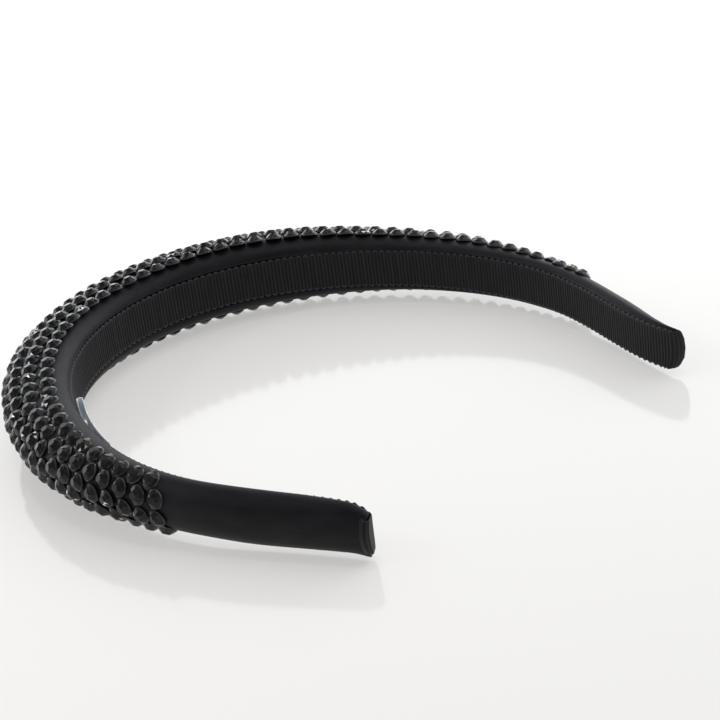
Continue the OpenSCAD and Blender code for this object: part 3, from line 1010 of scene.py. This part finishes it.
# %% Camera
CAMERA_PLACE = (0.33021, -0.28165, 0.19560)
CAMERA_HEADING, CAMERA_DOWN, CAMERA_LEAN = (math.radians(a) for a in (137.664, 23.484, -9.041))
FOCAL_LENGTH, SENSOR = 94.79, 36.0
look = np.array([math.cos(CAMERA_DOWN) * math.cos(CAMERA_HEADING),
                 math.cos(CAMERA_DOWN) * math.sin(CAMERA_HEADING), -math.sin(CAMERA_DOWN)])
level = np.cross(look, (0, 0, 1))
level /= np.linalg.norm(level)
upright = np.cross(level, look)
right = level * math.cos(CAMERA_LEAN) + upright * math.sin(CAMERA_LEAN)
above = upright * math.cos(CAMERA_LEAN) - level * math.sin(CAMERA_LEAN)
camera = bpy.data.objects.new("camera", bpy.data.cameras.new("camera"))
bpy.context.scene.collection.objects.link(camera)
camera.data.lens, camera.data.sensor_width = FOCAL_LENGTH, SENSOR
camera.data.clip_start, camera.data.clip_end = 0.01, 10.0
camera_matrix = np.eye(4)
camera_matrix[:3, :4] = np.stack([right, above, -look, CAMERA_PLACE], axis=-1)
camera.matrix_world = Matrix(camera_matrix.tolist())
bpy.context.scene.camera = camera
bpy.context.scene.view_settings.view_transform = "Standard"
print("the camera stands", round(float(np.linalg.norm(CAMERA_PLACE)), 3), "m away")

# %% [markdown]
# ## Table and light
#
# The table is glossy and nearly white. The room is like a light tent: bright low down behind
# the band and dim overhead and on the camera's side, so that black glass shows dark tables with
# light edges. One wide lamp hangs over the table, and two small ones, from the left and from
# high above, put sparks on the stones. The table also glows a little, as a white one does that
# is lit from all round, which keeps the band's shadow pale.

# %% Table
TABLE_SIZE = 2.4
floor_points = np.array([(-1, -1, 0), (1, -1, 0), (1, 1, 0), (-1, 1, 0)]) * TABLE_SIZE / 2
floor = new_piece("table", floor_points, [np.arange(4)[None]])
floor_finish, add, link = new_finish("pale_table", 0.1, Specular_IOR_Level=0.21,
                                     Emission_Strength=0.88)
cloudy = add("ShaderNodeTexNoise", {"Vector": add("ShaderNodeTexCoord").outputs["Object"]},
             Scale=3.0, Detail=1.0)
table_white = two_tones(add, cloudy.outputs["Fac"], (0.465, 0.46, 0.452), (0.48, 0.472, 0.462))
link(table_white, "Base Color")
link(table_white, "Emission Color")
floor.data.materials.append(floor_finish)

# %% Room
world = bpy.data.worlds.new("light_tent")
bpy.context.scene.world = world
world.use_nodes = True
sky = world.node_tree
sky_glow = sky.nodes["Background"]
sky_glow.inputs["Color"].default_value = (0.97, 0.985, 1.0, 1.0)
TENT_WALL, TENT_RIGHT, TENT_LEFT, TENT_TOP = 1.8, 0.3, 0.1, 0.3
sky_direction = sky.nodes.new("ShaderNodeTexCoord").outputs["Generated"]


def sky_step(axis, start, end):
    """A factor that goes from 0 to 1 as the part of the direction along an axis goes from
    start to end."""
    part = sky.nodes.new("ShaderNodeVectorMath")
    part.operation = "DOT_PRODUCT"
    part.inputs[1].default_value = axis
    sky.links.new(sky_direction, part.inputs[0])
    step = sky.nodes.new("ShaderNodeMapRange")
    step.interpolation_type = "SMOOTHSTEP"
    step.inputs["From Min"].default_value, step.inputs["From Max"].default_value = start, end
    sky.links.new(part.outputs["Value"], step.inputs["Value"])
    return step.outputs["Result"]


def sky_math(operation, *terms):
    node = sky.nodes.new("ShaderNodeMath")
    node.operation = operation
    for socket, term in zip(node.inputs, terms):
        if isinstance(term, float):
            socket.default_value = term
        else:
            sky.links.new(term, socket)
    return node.outputs["Value"]


tent_back = (math.cos(CAMERA_HEADING), math.sin(CAMERA_HEADING), 0.0)
tent_right = (math.sin(CAMERA_HEADING), -math.cos(CAMERA_HEADING), 0.0)
tent_left = tuple(-part for part in tent_right)
low_wall = sky_math("MULTIPLY", sky_step((0, 0, -1), -0.75, -0.42),
                    sky_step(tent_back, -0.15, 0.45))
glow = sky_math("MULTIPLY_ADD", low_wall, TENT_WALL, TENT_TOP)
glow = sky_math("MULTIPLY_ADD", sky_step(tent_right, 0.45, 0.8), TENT_RIGHT, glow)
glow = sky_math("MULTIPLY_ADD", sky_step(tent_left, 0.45, 0.8), TENT_LEFT, glow)
sky.links.new(glow, sky_glow.inputs["Strength"])

# %% Lamps
def lamp(name, place, aim, size, power, colour):
    """A square soft lamp at a place, facing a point."""
    light = bpy.data.lights.new(name, "AREA")
    light.size = size
    light.energy = power
    light.color = colour
    holder = bpy.data.objects.new(name, light)
    bpy.context.scene.collection.objects.link(holder)
    place, aim = np.array(place, float), np.array(aim, float)
    back = (place - aim) / np.linalg.norm(place - aim)
    right = np.cross((0.0, 0.0, 1.0), back) if abs(back[2]) < 0.99 else np.array([1.0, 0, 0])
    right /= np.linalg.norm(right)
    top = np.cross(back, right)
    matrix = np.eye(4)
    matrix[:3, :4] = np.stack([right, top, back, place], axis=-1)
    holder.matrix_world = Matrix(matrix.tolist())


lamp("soft_panel", (0.3, 0.62, 1.1), (0, 0, 0), 1.4, 5.6, (0.98, 0.99, 1.0))
lamp("left_spark", (-0.5, -0.7, 0.7), (0, 0, 0), 0.08, 0.8, (0.88, 0.93, 1.0))
lamp("high_spark", (-0.1, 0.0, 1.2), (0, 0, 0), 0.08, 0.9, (1.0, 0.95, 0.88))
print("lamps:", ", ".join(light.name for light in bpy.data.lights))
